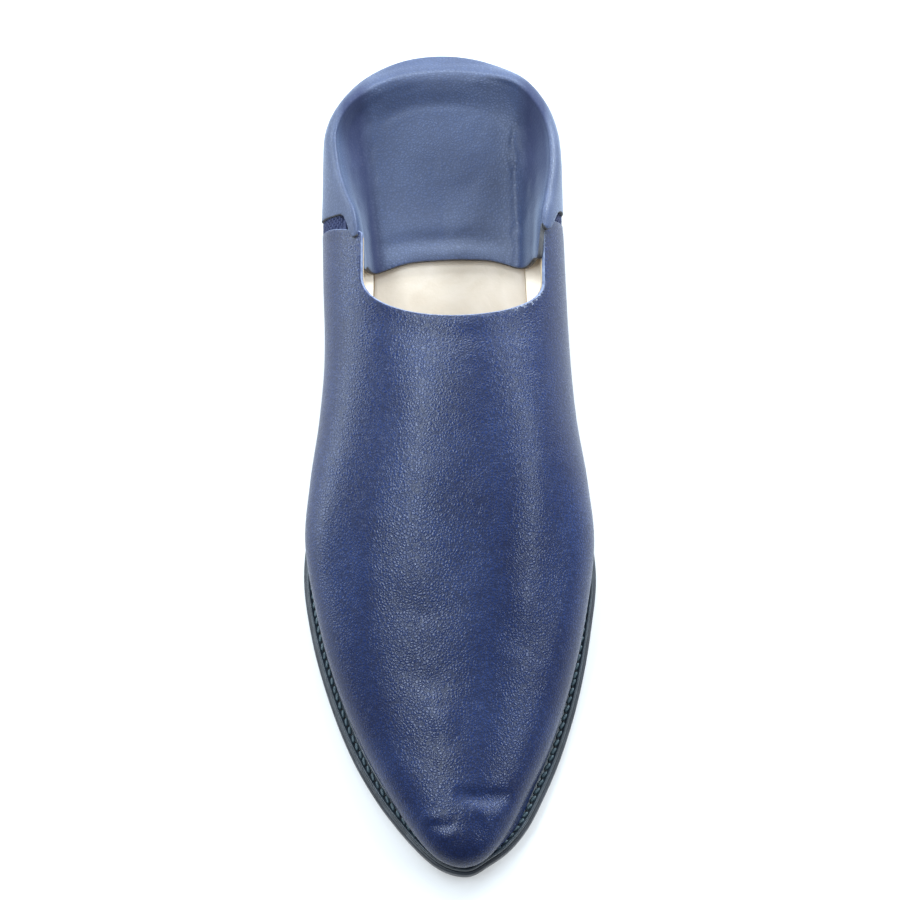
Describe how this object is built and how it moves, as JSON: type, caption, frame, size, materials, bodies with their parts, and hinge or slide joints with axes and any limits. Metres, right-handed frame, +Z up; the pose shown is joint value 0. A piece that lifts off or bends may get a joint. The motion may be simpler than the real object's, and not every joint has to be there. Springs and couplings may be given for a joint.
{
  "type": "babouche slipper",
  "caption": "Pointed leather slip-on slipper for the right foot, open throat, back folded in flat, low stitched welt and leather sole.",
  "frame": {"origin": "middle of the slipper's box in plan, on the floor that the sole stands on", "axes": "+Z up, the toe points along -Y and the heel along +Y, +X towards the inner side of the foot"},
  "size_m": [0.0932, 0.2684, 0.0526],
  "materials": {
    "heel_lift": "black sole leather, worn matt",
    "outsole": "black sole leather, worn matt",
    "welt": "near-black dyed leather edge, semi-matt, stitched",
    "insole": "cream lining leather, soft matt",
    "upper": "blue grained calf, semi-gloss",
    "heel_quarter": "blue grained calf, semi-gloss, folded and creased"
  },
  "bodies": {
    "root": {"heel_lift": "heel_lift", "outsole": "outsole", "welt": "welt", "insole": "insole", "upper": "upper", "heel_quarter": "heel_quarter"}
  },
  "joints": []
}
